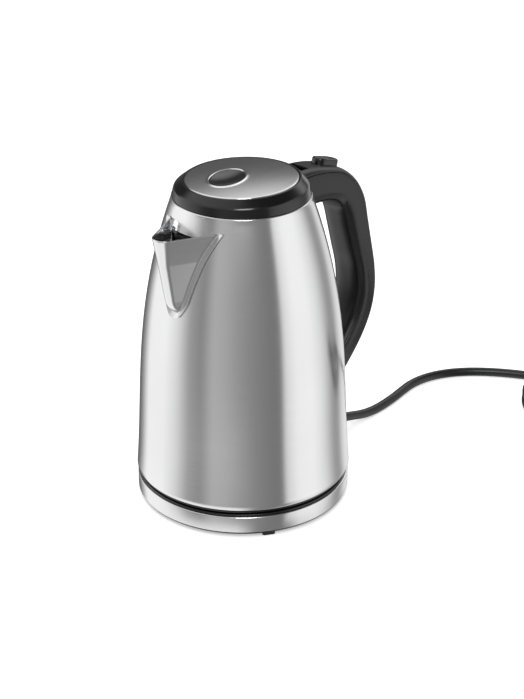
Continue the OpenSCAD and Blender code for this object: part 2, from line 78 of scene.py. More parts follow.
def through(points, u):
    """A smooth curve through a list of points, u from 0 to 1."""
    s = min(max(u, 0), 1) * (len(points) - 1)
    i = min(int(s), len(points) - 2)
    t = s - i
    a, b = np.array(points[max(i - 1, 0)], float), np.array(points[i], float)
    c = np.array(points[i + 1], float)
    d = np.array(points[min(i + 2, len(points) - 1)], float)
    return (
        2 * b
        + (c - a) * t
        + (2 * a - 5 * b + 4 * c - d) * t**2
        + (3 * b - a - 3 * c + d) * t**3
    ) / 2


def arc(centre, radius, start, end, steps):
    """Points of an arc from one angle to another, in degrees."""
    angles = np.radians(np.linspace(start, end, steps + 1))
    return [(centre[0] + radius * math.cos(a), centre[1] + radius * math.sin(a)) for a in angles]


def rounded(corners, steps=6, closed=True):
    """An outline through corners (x, y) or (x, y, radius), with an arc at each radius."""
    points = []
    for i, corner in enumerate(corners):
        p = complex(*corner[:2])
        ends = not closed and i in (0, len(corners) - 1)
        if len(corner) < 3 or ends:
            points.append((p.real, p.imag))
            continue
        before = complex(*corners[i - 1][:2]) - p
        after = complex(*corners[(i + 1) % len(corners)][:2]) - p
        u, v = before / abs(before), after / abs(after)
        half = abs(math.atan2((u.conjugate() * v).imag, (u.conjugate() * v).real)) / 2
        reach = min(corner[2] / math.tan(half), abs(before) * 0.49, abs(after) * 0.49)
        centre = p + (u + v) / abs(u + v) * reach / math.cos(half)
        first, last = p + u * reach - centre, p + v * reach - centre
        turn = math.atan2((last / first).imag, (last / first).real)
        for k in range(steps + 1):
            q = centre + first * complex(math.cos(turn * k / steps), math.sin(turn * k / steps))
            points.append((q.real, q.imag))
    return points


def edge_drop(distance, radius):
    """How far a rounded edge lies below the surface at a distance from the edge."""
    if distance >= radius:
        return 0.0
    return radius - math.sqrt(max(radius**2 - (radius - distance) ** 2, 0))


def with_fine_ends(low, high, count, fine):
    """Evenly spread values, with a few close ones within fine of each end."""
    near = [0, 0.06, 0.2, 0.42, 0.7, 1.0]
    start = [low + fine * x for x in near]
    end = [high - fine * x for x in reversed(near)]
    return start + list(np.linspace(low + fine, high - fine, count))[1:-1] + end


BODY_CURVE = [(BODY_R, BODY_Z), (70.7, 86.8), (76.6, 144.5), (NECK_R, NECK_Z)]
BODY_LINE = np.array([bezier(*BODY_CURVE, t) for t in np.linspace(0, 1, 500)])


def body_radius(z):
    return float(np.interp(z, BODY_LINE[:, 1], BODY_LINE[:, 0]))


# ---- Meshes ----


def grid(rows, columns, wrap_rows=False, wrap_columns=False):
    """Four-sided faces of a grid of points that is stored row by row."""
    faces = []
    for i in range(rows if wrap_rows else rows - 1):
        for j in range(columns if wrap_columns else columns - 1):
            a, b = i % rows * columns, (i + 1) % rows * columns
            k = (j + 1) % columns
            faces.append((a + j, a + k, b + k, b + j))
    return faces


def mesh_of(name, points, faces, sharp=38):
    """A smooth-shaded mesh in metres, with merged points and normals that face out."""
    mesh = bpy.data.meshes.new(name)
    mesh.from_pydata([tuple(float(c) * MM for c in p) for p in points], [], faces)
    work = bmesh.new()
    work.from_mesh(mesh)
    bmesh.ops.remove_doubles(work, verts=work.verts, dist=2e-6)
    bmesh.ops.dissolve_degenerate(work, edges=work.edges, dist=1e-6)
    bmesh.ops.recalc_face_normals(work, faces=work.faces)
    work.to_mesh(mesh)
    work.free()
    mesh.shade_smooth()
    mesh.set_sharp_from_angle(angle=math.radians(sharp))
    return mesh


def plain_object(name, points, faces, sharp=38):
    made = bpy.data.objects.new(name, mesh_of(name, points, faces, sharp))
    bpy.context.scene.collection.objects.link(made)
    return made


def dress(made, material, body, slot, replaces=()):
    """Gives an object its material and its body, and hides the CAD nodes that it stands for. slot is not
    used.
    """
    made.data.materials.clear()
    made.data.materials.append(material)
    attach(made, body)
    if replaces:
        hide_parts(*replaces)
    return made


def piece(name, part, *looks, sharp=38):
    """An object made from points and faces, and dressed."""
    return dress(plain_object(name, *part, sharp), *looks)


def lathe(profile, sides=160):
    """Points and faces of a closed outline (radius, z) turned about the Z axis."""
    turns = [(math.cos(a), math.sin(a)) for a in np.linspace(0, 2 * math.pi, sides + 1)[:-1]]
    points = [(r * c, r * s, z) for r, z in profile for c, s in turns]
    return points, grid(len(profile), sides, True, True)


def joined(*parts):
    """One list of points and faces from several."""
    points, faces = [], []
    for more, their_faces in parts:
        faces += [tuple(i + len(points) for i in f) for f in their_faces]
        points += list(more)
    return points, faces


def moved(part, offset=(0, 0, 0), turn=0.0, tilt=0.0, about=(0, 0, 0)):
    """A part tilted about Y, then turned about Z, both in degrees, then shifted."""
    a, b = math.radians(turn), math.radians(tilt)
    made = []
    for p in part[0]:
        x, y, z = (p[k] - about[k] for k in range(3))
        x, z = x * math.cos(b) + z * math.sin(b), -x * math.sin(b) + z * math.cos(b)
        x, y = x * math.cos(a) - y * math.sin(a), x * math.sin(a) + y * math.cos(a)
        made.append((x + about[0] + offset[0], y + about[1] + offset[1], z + about[2] + offset[2]))
    return made, part[1]


def block(low, high):
    """Points and faces of a box."""
    points = [(x, y, z) for x in (low[0], high[0]) for y in (low[1], high[1]) for z in (low[2], high[2])]
    faces = [(0, 1, 3, 2), (4, 6, 7, 5), (0, 4, 5, 1), (2, 3, 7, 6), (0, 2, 6, 4), (1, 5, 7, 3)]
    return points, faces


def stacked(outlines):
    """Closed solid through a list of outlines that have the same number of 3-D points."""
    n, m = len(outlines[0]), len(outlines)
    points = [p for ring in outlines for p in ring]
    faces = grid(m, n, False, True)
    for ring in (0, m - 1):
        faces.append(tuple(ring * n + k for k in range(n)))
    return points, faces


def plate(outline, thick, edge, holes=(), steps=3):
    """A flat plate with rounded edges: an outline in the XY plane, centred on Z = 0."""
    curve = bpy.data.curves.new("outline", "CURVE")
    curve.dimensions = "2D"
    curve.fill_mode = "BOTH"
    curve.extrude = thick / 2 - edge
    curve.bevel_depth = edge
    curve.bevel_resolution = steps
    curve.offset = -edge
    for line in (outline, *holes):
        spline = curve.splines.new("POLY")
        spline.points.add(len(line) - 1)
        for point, (x, y) in zip(spline.points, line):
            point.co = (x, y, 0, 1)
        spline.use_cyclic_u = True
    holder = bpy.data.objects.new("outline", curve)
    mesh = bpy.data.meshes.new_from_object(holder)
    points = [tuple(v.co) for v in mesh.vertices]
    faces = [tuple(p.vertices) for p in mesh.polygons]
    bpy.data.objects.remove(holder)
    bpy.data.curves.remove(curve)
    bpy.data.meshes.remove(mesh)
    return points, faces


def upright(part):
    """A part drawn in the XY plane stood up in the XZ plane."""
    return [(x, -z, y) for x, y, z in part[0]], part[1]


def carve(made, part):
    """Cuts a closed part out of an object for good."""
    cutter = plain_object("cutter", *part)
    cut = made.modifiers.new("cut", "BOOLEAN")
    cut.operation = "DIFFERENCE"
    cut.solver = "EXACT"
    cut.object = cutter
    graph = bpy.context.evaluated_depsgraph_get()
    result = bpy.data.meshes.new_from_object(made.evaluated_get(graph))
    made.modifiers.clear()
    made.data = result
    result.name = made.name
    bpy.data.objects.remove(cutter)
    result.shade_smooth()
    result.set_sharp_from_angle(angle=math.radians(35))
    return made


def wire(name, path, radius, cyclic=False):
    """A curve object with a round section along a path in millimetres."""
    curve = bpy.data.curves.new(name, "CURVE")
    curve.dimensions = "3D"
    curve.bevel_depth = radius * MM
    curve.bevel_resolution = 5
    curve.resolution_u = 4
    curve.use_fill_caps = True
    spline = curve.splines.new("BEZIER")
    spline.bezier_points.add(len(path) - 1)
    for point, place in zip(spline.bezier_points, path):
        point.co = [c * MM for c in place]
        point.handle_left_type = point.handle_right_type = "AUTO"
    spline.use_cyclic_u = cyclic
    made = bpy.data.objects.new(name, curve)
    bpy.context.scene.collection.objects.link(made)
    return made


# ---- Materials ----


def new_material(name, color, roughness, metallic=0.0, **more):
    made = bpy.data.materials.new(name)
    made.use_nodes = True
    shader = made.node_tree.nodes["Principled BSDF"]
    shader.inputs["Base Color"].default_value = (*color, 1)
    shader.inputs["Roughness"].default_value = roughness
    shader.inputs["Metallic"].default_value = metallic
    for socket, value in more.items():
        shader.inputs[socket.replace("_", " ")].default_value = value
    return made


def add_node(owner, kind, inputs=None, **settings):
    """Adds a node to a material or a world. inputs are values or sockets to link from."""
    made = owner.node_tree.nodes.new(kind)
    for key, value in settings.items():
        setattr(made, key, value)
    for key, value in (inputs or {}).items():
        if isinstance(value, bpy.types.NodeSocket):
            owner.node_tree.links.new(value, made.inputs[key])
        else:
            made.inputs[key].default_value = value
    return made


def link(material, socket, name):
    """Links a socket to an input of the material's shader."""
    shader = material.node_tree.nodes["Principled BSDF"]
    material.node_tree.links.new(socket, shader.inputs[name])


def noise_at(material, scale, detail=3.0, turn=(0, 0, 0)):
    """Noise in the object's own coordinates, with a scale per metre along each axis."""
    place = add_node(material, "ShaderNodeTexCoord").outputs["Object"]
    spot = add_node(
        material,
        "ShaderNodeMapping",
        {"Vector": place, "Scale": scale, "Rotation": turn},
    ).outputs[0]
    return add_node(
        material, "ShaderNodeTexNoise", {"Vector": spot, "Scale": 1.0, "Detail": detail}
    ).outputs["Fac"]


def ranged(material, value, low, high):
    """A noise value spread from low to high."""
    return add_node(
        material,
        "ShaderNodeMapRange",
        {"Value": value, "From Min": 0.3, "From Max": 0.7, "To Min": low, "To Max": high},
    ).outputs[0]


def tinted(material, value, dark, light):
    """A colour between two, by a noise value."""
    ramp = add_node(material, "ShaderNodeValToRGB", {"Fac": value})
    ramp.color_ramp.elements[0].position = 0.3
    ramp.color_ramp.elements[0].color = (*dark, 1)
    ramp.color_ramp.elements[1].position = 0.7
    ramp.color_ramp.elements[1].color = (*light, 1)
    link(material, ramp.outputs["Color"], "Base Color")


def bumped(material, value, strength, distance):
    bump = add_node(
        material,
        "ShaderNodeBump",
        {"Height": value, "Strength": strength, "Distance": distance},
    )
    link(material, bump.outputs["Normal"], "Normal")


def brushed(name, along, roughness, tint=0.62, stretch=0.6):
    """Brushed stainless steel. along is the noise scale per metre on each axis: low along
    the brush lines and high across them. The highlight is drawn out across the lines."""
    made = new_material(name, (tint, tint, tint * 1.01), roughness, 1.0)
    made.node_tree.nodes["Principled BSDF"].inputs["Anisotropic"].default_value = stretch
    lines = noise_at(made, along, 4.0)
    link(made, ranged(made, lines, roughness * 0.8, roughness * 1.2), "Roughness")
    cloud = noise_at(made, (14, 14, 9), 2.0)
    tinted(made, cloud, (tint * 0.96,) * 3, (tint * 1.03, tint * 1.03, tint * 1.04))
    bumped(made, lines, 0.10, 0.00004)
    return made


def brush_direction(material, axis, turn):
    """Draws the highlight out at a turn, in whole turns, from the circle about an axis."""
    tangent = add_node(material, "ShaderNodeTangent", direction_type="RADIAL", axis=axis)
    link(material, tangent.outputs[0], "Tangent")
    material.node_tree.nodes["Principled BSDF"].inputs["Anisotropic Rotation"].default_value = turn
    return material


def moulded(name, color, roughness, grain=5200, relief=0.10, **more):
    """Moulded plastic: a fine spark-eroded texture and slow changes of gloss."""
    made = new_material(name, color, roughness, **more)
    fine = noise_at(made, (grain,) * 3, 2.0)
    slow = noise_at(made, (38,) * 3, 2.0)
    link(made, ranged(made, slow, roughness * 0.9, roughness * 1.12), "Roughness")
    tinted(made, slow, tuple(c * 0.9 for c in color), tuple(c * 1.12 for c in color))
    bumped(made, fine, relief, 0.00004)
    return made


steel_body = brush_direction(brushed("body_steel", (26, 26, 4200), 0.20, 0.66), "Z", 0.25)
steel_ring = brush_direction(brushed("ring_steel", (26, 26, 4200), 0.20, 0.64), "Z", 0.25)
steel_disc = brushed("disc_steel", (22, 3600, 60), 0.15, 0.68, 0.0)
steel_plain = brushed("plain_steel", (300, 300, 300), 0.24, 0.55, 0.0)
steel_plate = brushed("plate_steel", (900, 900, 200), 0.30, 0.58, 0.0)
aluminium = brushed("cast_aluminium", (500, 500, 500), 0.42, 0.62, 0.0)
nickel = brushed("pin_nickel", (200, 200, 1600), 0.18, 0.68, 0.0)
copper = brushed("contact_copper", (300, 300, 300), 0.26, 0.5, 0.0)
handle_black = moulded("handle_plastic", (0.004, 0.004, 0.0045), 0.26, Specular_IOR_Level=0.36)
cover_black = moulded("cover_plastic", (0.006, 0.006, 0.0065), 0.34, Specular_IOR_Level=0.45)
grip_black = moulded("grip_rubber", (0.0035, 0.0035, 0.004), 0.30, 3000, 0.12, Specular_IOR_Level=0.32)
lid_black = moulded("lid_plastic", (0.003, 0.003, 0.0035), 0.18, 5200, 0.03)
cap_black = moulded("cap_plastic", (0.006, 0.006, 0.0065), 0.14, 5200, 0.02)
button_black = moulded("button_plastic", (0.002, 0.002, 0.0025), 0.08, 5200, 0.01)
base_black = moulded("base_plastic", (0.004, 0.004, 0.0045), 0.26)
inner_black = moulded("inner_plastic", (0.005, 0.005, 0.0055), 0.36)
grey_plastic = moulded("grey_plastic", (0.20, 0.205, 0.21), 0.40)
foot_rubber = moulded("foot_rubber", (0.005, 0.005, 0.005), 0.6, 1800, 0.3)
silicone = moulded("seal_silicone", (0.55, 0.55, 0.54), 0.46, 2400, 0.06)
cord_pvc = moulded("cord_pvc", (0.005, 0.005, 0.0055), 0.34, 1500, 0.08)
plug_pvc = moulded("plug_pvc", (0.006, 0.006, 0.0065), 0.38, 3200, 0.14)
wire_pvc = moulded("wire_pvc", (0.05, 0.16, 0.06), 0.45, 2500, 0.05)

tinted(copper, noise_at(copper, (120,) * 3), (0.62, 0.33, 0.19), (0.74, 0.43, 0.26))

# ---- Camera ----

LOOK_AZIMUTH = 43
LOOK_DOWN = 26.07
LOOK_RIGHT = 0.690
CAMERA_OUT, CAMERA_UP = 1.1379, 0.6652


def make_camera():
    data = bpy.data.cameras.new("camera")
    data.sensor_width = 36
    data.lens = 92.7
    camera = bpy.data.objects.new("camera", data)
    bpy.context.scene.collection.objects.link(camera)
    heading = math.radians(LOOK_AZIMUTH)
    camera.location = (
        -CAMERA_OUT * math.cos(heading),
        -CAMERA_OUT * math.sin(heading),
        CAMERA_UP,
    )
    camera.rotation_euler = (
        math.radians(90 - LOOK_DOWN),
        0,
        math.radians(LOOK_AZIMUTH - 90 - LOOK_RIGHT),
    )
    bpy.context.scene.camera = camera


make_camera()

# ---- Mains cord, from the base to the plug ----

CORD_EXIT = (104, 0, 10.2)
CORD_ROUTE = [
    CORD_EXIT, (112, -0.3, 9.8), (121, -1, 8), (131, -2, 5.7), (142, -2.8, 4.1),
    (154, -2.8, 3.5), (166, -2, 3.5), (178, -0.5, 3.5), (190, 1.5, 3.5), (202, 2.8, 3.5),
    (214, 2, 3.5), (226, -1.2, 3.5), (237.5, -7, 3.5), (248, -15, 3.5), (257.5, -25, 3.5),
    (266, -36.5, 3.5), (273.5, -49, 3.5), (280, -62, 3.5), (285.5, -75, 3.5),
    (290, -88, 3.5), (293.4, -96.5, 3.5),
]
COIL_AT, COIL_R, COIL_TURNS = (260, -113), 36.75, 2
COIL_START = 19.1
TAIL_ROUTE = [
    (296.7, -107, 17.2), (299.6, -116.8, 15.6), (301.2, -127.6, 12.2), (301.3, -139.6, 9),
]
PLUG_AT, PLUG_TURN = (301.3, -189.1), 90


def coil_point(turns):
    """A turn lies flat, then climbs one cord's width over the start of the next one."""
    whole, part = divmod(turns, 1)
    climb = min(max((part - 0.55) / 0.45, 0), 1)
    height = CORD_D * (0.5 + whole + climb * climb * (3 - 2 * climb))
    angle = math.radians(COIL_START - 360 * turns)
    return (
        COIL_AT[0] + COIL_R * math.cos(angle),
        COIL_AT[1] + COIL_R * math.sin(angle),
        height,
    )


def make_cord(plug_pieces):
    turns = [coil_point(t) for t in np.arange(0, COIL_TURNS, 1 / 24)]
    path = CORD_ROUTE + turns + TAIL_ROUTE
    cord = wire("mains_flex", path, CORD_D / 2)
    dress(cord, cord_pvc, "base", "cord_black", ("mains_cord", "cord_coil", "cord_tail"))


def ribbed_sleeve(radii, start, end, groove, grooves):
    """Outline (radius, length) of a tapered sleeve with a rounded end and rings cut into it."""
    line = [(0, start), (radii[0], start, 0.6)]
    for k in range(grooves):
        at = start + (end - start) * (k + 0.7) / (grooves + 0.9)
        share = (at - start) / (end - start)
        r = radii[0] + (radii[1] - radii[0]) * share
        line += [(r, at - 0.8, 0.35), (r - groove, at - 0.8), (r - groove, at + 0.8)]
        line += [(r - 0.05, at + 0.8, 0.35)]
    line += [(radii[1], end, 0.5), (0, end)]
    return rounded(line, 3)


def along_x(part, at):
    """A part turned about Z laid along +X from a point."""
    return [(at[0] + z, at[1] + y, at[2] + x) for x, y, z in part[0]], part[1]


def make_plug():
    r, height = 18.5, 24
    body = rounded(
        [(0, 0), (r - 2.5, 0, 1.2), (r - 0.5, 1.5, 1.5), (r, 5, 3), (r, 17, 1), (r - 0.7, 18, 1),
         (r - 0.7, height - 1.2, 1.2), (r - 2.2, height, 1), (0, height)], 5)
    relief = lathe(ribbed_sleeve((6.4, 4.6), 0, 26, 1.1, 5), 48)
    neck = lathe(rounded([(0, 0), (8.6, 0, 1), (8.2, 6, 2.5), (6.2, 9.5, 2), (0, 9.5)], 5), 48)
    shell = plain_object("plug_shell", *lathe(body, 128))
    for s in (-1, 1):
        carve(shell, block((-4.5, s * r - 2.2, 7), (4.5, s * r + 3.0, 27)))
        carve(shell, moved(lathe([(0, 18), (2.55, 18), (2.55, 30), (0, 30)], 32), (0, s * 9.5, 0)))
    carve(shell, moved(lathe([(0, 16), (2.7, 16), (2.7, 30), (0, 30)], 32), (9, 0, 0)))
    collar = joined(along_x(neck, (r - 3.5, 0, 8)), along_x(relief, (r + 5.2, 0, 8)))
    sleeve = plain_object("plug_sleeve", *collar)
    pin = rounded([(0, 17), (2.35, 17), (2.4, 41, 0.4), (1.5, 43, 0.8), (0, 43)], 4)
    pins = plain_object("plug_contact_pins", *joined(
        *(moved(lathe(pin, 32), (0, s * 9.5, 0)) for s in (-1, 1))))
    clip = rounded([(-3, 7.2, 1), (3, 7.2, 1), (3, 24, 1), (-3, 24, 1)], 4)
    clips = []
    for s in (-1, 1):
        flat = plate(clip, 0.8, 0.25)
        clips.append(([(x, s * 16.7 + z, y) for x, y, z in flat[0]], flat[1]))
    earth = plain_object("plug_earth_contacts", *joined(*clips))
    turn = math.radians(PLUG_TURN)
    for made in (shell, sleeve, pins, earth):
        made.location = (PLUG_AT[0] * MM, PLUG_AT[1] * MM, 0)
        made.rotation_euler = (0, 0, turn)
    dress(shell, plug_pvc, "base", "plug_black", ("plug_body",))
    dress(sleeve, plug_pvc, "base", "plug_black")
    dress(pins, nickel, "base", "plain_steel", ("plug_pins",))
    dress(earth, nickel, "base", "plain_steel", ("plug_earth_clips",))
    return [shell, sleeve, pins, earth]


make_cord(make_plug())

# ---- Power base ----


def make_base():
    lip = rounded([(0, 2.6), (71, 2.6, 1), (72, 2.4, 0.5), (BASE_R - 2.0, 2.4, 0.6),
                   (BASE_R - 0.7, 3.4, 0.8), (BASE_R - 0.4, RING_Z - 0.1, 0.2), (72.6, RING_Z - 0.1),
                   (72.6, 12), (70.8, 12), (70.8, RING_Z), (0, RING_Z)], 4)
    piece("base_underside", lathe(lip), base_black, "base", "base_plastic", ("base_bottom",))
    band = rounded([(BASE_R - 0.8, RING_Z, 0.1), (BASE_R, RING_Z, 0.3), (BASE_R, RING_TOP, 1.0),
                    (70, RING_TOP), (70, RING_TOP - 0.7), (BASE_R - 0.8, RING_TOP - 0.7, 0.3)], 7)
    piece("base_steel_band", lathe(band, 200), steel_ring, "base", "brushed_steel", ("base_steel_ring",))
    top = rounded([(15.8, 15.4), (66.5, 15.4), (66.5, 8), (68.6, 8), (68.6, 15.4), (69.4, 15.4),
                   (69.4, RING_TOP + 0.1), (BASE_R - 1.3, RING_TOP + 0.1, 0.2),
                   (BASE_R - 1.3, COVER_TOP, 0.8), (66, COVER_TOP, 0.3), (66, COLLAR_Z, 0.4),
                   (62, COLLAR_Z, 0.4), (62, COVER_TOP, 0.6), (24, 17.2, 2), (15.8, 17.2, 0.5)], 4)
    piece("base_top", lathe(top, 200), base_black, "base", "base_plastic", ("base_cover",))
    pad = rounded([(-5, -4.6, 1.6), (5, -4.6, 1.6), (5, 4.6, 1.6), (-5, 4.6, 1.6)], 5)
    feet = [moved(moved(plate(pad, 3.4, 0.6), (68.9, 0, 1.7)), turn=a) for a in (0, 123, 237)]
    piece("rubber_feet", joined(*feet), foot_rubber, "base", "rubber_feet", ("base_feet",))
    post = rounded([(2.6, 8), (19.5, 8), (19.5, 15.3), (15.5, 15.3), (15.5, 32.6, 1.2), (13.4, 32.6, 0.4),
                    (13.4, 22), (11.4, 22), (11.4, 32.6, 0.4), (8.6, 32.6, 0.4), (8.6, 22), (6.4, 22),
                    (6.4, 32.6, 0.4), (2.6, 32.6, 0.5)], 4)
    piece("coupling_post", lathe(post, 96), base_black, "base", "black_plastic", ("base_connector",))
    sleeve = rounded([(0, 61), (5, 61), (5, 64.4), (5.4, 64.4), (5.4, 75), (7.2, 75.2, 0.6),
                      (6.8, 78, 0.8), (6.3, 80), (0, 80)], 3)
    ribs = ribbed_sleeve((6.1, 4.5), 79.6, 104, 1.0, 5)
    made = plain_object("cord_sleeve", *joined(
        along_x(lathe(sleeve, 64), (0, 0, CORD_EXIT[2])), along_x(lathe(ribs, 64), (0, 0, CORD_EXIT[2]))))
    dress(made, cord_pvc, "base", "cord_black", ("strain_relief",))


make_base()

# ---- Steel body and spout ----

# The front line leans out by CREASE_SLOPE, and below FOOT_FROM it curves in to the body
SPOUT_FOOT, FOOT_FROM, FOOT_DROP = 160, 170, 5.3
CREASE_SLOPE = 0.2
# At the foot, two thirds of the way up and at the rim: the nose's radius, the angle between a
# wall and the plane of symmetry, and how far a wall runs on inside the body for its flange
NOSE_R = (4.4, 5.4, 8.2)
WALL_ANGLE = (22.5, 23.5, 25)
FLANGE_DEPTH = (5.4, 4.6, 2.6)
WALL_REACH = 62
# The flange stands this far off the body where it starts, and rises to a rolled edge
FLANGE_LOW, FLANGE_RISE, FLANGE_EDGE = 0.3, 2.0, 0.7
FILLET, SPOUT_SHEET = 1.2, 0.9
ROW_SPREAD = 1.35
HOLE_TOP, HOLE_HALF = 211, 18.5


def spout_hole():
    """Rounded triangle behind the spout, as a prism along -X."""
    line = rounded([(0, SPOUT_FOOT + 9, 3), (HOLE_HALF, HOLE_TOP, 2), (-HOLE_HALF, HOLE_TOP, 2)], 6)
    return stacked([[(x, y, z) for y, z in line] for x in (-100, -30)])


def switch_notch(low, high):
    return block((60, -SWITCH_HALF, low), (90, SWITCH_HALF, high))


def make_body():
    outer = [tuple(bezier(*BODY_CURVE, t)) for t in np.linspace(0.004, 0.984, 80)]
    inner = [(r - SHEET, z) for r, z in reversed(outer)]
    bead = arc((NECK_R - 0.5, NECK_Z - 0.9), 1.05, -15, 185, 12)
    hem = arc((BODY_R - 1.1, BODY_Z + 0.6), 0.9, 200, 350, 8)
    profile = outer + bead + inner + hem
    made = plain_object("steel_body", *lathe(profile, 256))
    carve(made, spout_hole())
    carve(made, switch_notch(BODY_Z - 2, BODY_Z + 18))
    dress(made, steel_body, "kettle", "brushed_steel", ("body_shell",))


def spout_crease(z):
    """Distance of the spout's front line from the axis: straight, with a blunt foot."""
    line = SPOUT_R - CREASE_SLOPE * (SPOUT_TOP - z)
    foot = max((FOOT_FROM - z) / (FOOT_FROM - SPOUT_FOOT), 0) ** 2 * FOOT_DROP
    return line - foot


def up_the_spout(z, values):
    """A value that changes from the spout's foot, by way of two thirds up, to its rim."""
    return float(np.interp(z, [SPOUT_FOOT, (SPOUT_FOOT + 2 * SPOUT_TOP) / 3, SPOUT_TOP], values))


def spout_wall(z):
    """Length, radius and azimuth along one wall of the spout, from its nose inwards."""
    nose, slant = up_the_spout(z, NOSE_R), math.radians(up_the_spout(z, WALL_ANGLE))
    centre = spout_crease(z) - nose
    turns = np.linspace(0, math.pi / 2 - slant, 40)
    line = [(centre + nose * math.cos(a), nose * math.sin(a)) for a in turns]
    x0, y0 = line[-1]
    runs = np.linspace(0, WALL_REACH, 400)[1:]
    line += [(x0 - s * math.cos(slant), y0 + s * math.sin(slant)) for s in runs]
    line = np.array(line)
    length = np.concatenate([[0], np.cumsum(np.hypot(*np.diff(line, axis=0).T))])
    return length, np.hypot(line[:, 0], line[:, 1]), np.arctan2(line[:, 1], line[:, 0])


def make_spout():
    """A pressed wedge over the body, with a flange that rises towards its rolled edge."""
    rows = 110
    low = SPOUT_FOOT
    while spout_crease(low) - body_radius(low) > -up_the_spout(low, FLANGE_DEPTH):
        low -= 0.05
    half = [0.0] + with_fine_ends(0, 1, 64, 0.03)[6:]
    half_columns = len(half) - 1
    outer, inner = [], []
    for i in range(rows + 1):
        rise = (i / rows) ** ROW_SPREAD
        z = low + (SPOUT_TOP - 0.4 - low) * rise
        depth = up_the_spout(z, FLANGE_DEPTH)
        length, radius, azimuth = spout_wall(z)
        wall = body_radius(z)
        past = np.nonzero(radius < wall - depth)[0]
        end = length[past[0]] if len(past) and past[0] > 0 else 0.0
        out_row, in_row = [], []
        for k in range(-half_columns, half_columns + 1):
            s = half[abs(k)] * end
            r, a = np.interp(s, length, radius), np.interp(s, length, azimuth)
            near = max(FILLET - abs(r - wall), 0) / FILLET
            lift = FLANGE_RISE * min(max((wall - r) / depth, 0), 1)
            drop = edge_drop(min(end - s, rise * (SPOUT_TOP - low)), FLANGE_EDGE)
            r_out = max(r, wall) + near * near * FILLET / 4 + FLANGE_LOW + max(lift - drop, 0)
            r_in = max(r_out - SPOUT_SHEET, wall + 0.03)
            side = 1 if k >= 0 else -1
            for row, rad in ((out_row, r_out), (in_row, r_in)):
                row.append((-rad * math.cos(a), side * rad * math.sin(a), z))
        outer.append(out_row)
        inner.append(in_row)
    rim = []
    for v in np.linspace(0, math.pi, 7)[1:-1]:
        row = []
        for a, b in zip(outer[-1], inner[-1]):
            mid, reach = [(p + q) / 2 for p, q in zip(a, b)], [(p - q) / 2 for p, q in zip(a, b)]
            lift = math.hypot(*reach) * math.sin(v)
            row.append((mid[0] + reach[0] * math.cos(v), mid[1] + reach[1] * math.cos(v), mid[2] + lift))
        rim.append(row)
    all_rows = outer + rim + inner[::-1]
    points = [p for row in all_rows for p in row]
    faces = grid(len(all_rows), 2 * half_columns + 1, True, False)
    for j in (0, 2 * half_columns):
        column = [i * (2 * half_columns + 1) + j for i in range(len(all_rows))]
        n = len(column)
        for i in range(rows):
            faces.append((column[i], column[i + 1], column[n - 2 - i], column[n - 1 - i]))
        faces.append(tuple(column[rows:n - rows]))
    made = plain_object("pressed_spout", points, faces)
    dress(made, steel_body, "kettle", "brushed_steel", ("spout",))


def make_collar():
    line = rounded([(66.2, COLLAR_Z, 0.4), (BASE_R - 2.2, COLLAR_Z, 0.6), (BASE_R - 1.4, COLLAR_Z + 1, 0.4),
                    (BASE_R - 1.4, BODY_Z + 0.3, 0.2), (74, BODY_Z + 0.4), (73.2, 32), (71.2, 32),
                    (71.2, 21.5), (66.2, 21.5)], 4)
    made = plain_object("body_collar", *lathe(line, 200))
    carve(made, switch_notch(BODY_Z, BODY_Z + 20))
    dress(made, base_black, "kettle", "black_plastic", ("lower_collar",))


make_body()
make_spout()
make_collar()

# ---- Spout filter ----

FILTER_AT, FILTER_TILT = (-52.5, 0, 189.5), 14


def at_filter(part):
    """A part drawn with Y across and Z up, put where the filter stands."""
    return moved(moved(part, tilt=FILTER_TILT), FILTER_AT)


def make_filter():
    outline = rounded([(-18, -19, 3), (18, -19, 3), (18, 19, 2), (-18, 19, 2)], 5)
    windows = [rounded([(s * 8.5 - 7, -17, 1.5), (s * 8.5 + 7, -17, 1.5), (s * 8.5 + 7, 15, 1.5),
                        (s * 8.5 - 7, 15, 1.5)], 4) for s in (-1, 1)]
    board = plate(outline, 2.0, 0.5, windows)
    hook = plate(rounded([(-3, 0, 1), (3, 0, 1), (3, 5, 2.4), (-3, 5, 2.4)], 5), 3.0, 0.7)
    hooks = []
    for turn in (-17, 17):
        tab = ([(-z, x, y) for x, y, z in hook[0]], hook[1])
        hooks.append(moved(moved(tab, (1.6 - body_radius(HOLE_TOP), 0, HOLE_TOP - 3)), turn=turn))
    board = ([(z, x, y) for x, y, z in board[0]], board[1])
    piece("filter_holder", at_filter(board), inner_black, "spout_filter", "black_plastic", ("filter_frame",))
    piece("filter_hooks", joined(*hooks), grey_plastic, "spout_filter", "grey_plastic")
    pitch, half = 1.0, 0.13
    wires = []
    for middle in (-8.5, 8.5):
        for y in np.arange(middle - 6.5, middle + 6.6, pitch):
            wires.append(block((-0.1 - half, y - half, -17.2), (-0.1 + half, y + half, 15.2)))
        for z in np.arange(-16.5, 14.6, pitch):
            wires.append(block((0.1 - half, middle - 7.2, z - half), (0.1 + half, middle + 7.2, z + half)))
    piece("filter_gauze", at_filter(joined(*wires)),
          steel_plain, "spout_filter", "plain_steel", ("filter_mesh",))


make_filter()

# ---- Lid ----


def tipped(part, low=230.5, high=DISC_Z):
    """Tips the upper part of a lid piece towards the spout, as the disc is."""
    made = []
    for x, y, z in part[0]:
        share = min(max((z - low) / (high - low), 0), 1)
        along = x * math.cos(math.radians(DISC_TURN)) + y * math.sin(math.radians(DISC_TURN))
        made.append((x, y, z + along * math.tan(math.radians(DISC_TILT)) * share))
    return made, part[1]


def at_disc(part):
    """A part drawn on a level disc, tipped with it and put in its place."""
    return moved(moved(moved(part, turn=-DISC_TURN), tilt=-DISC_TILT), (0, 0, DISC_Z), DISC_TURN)


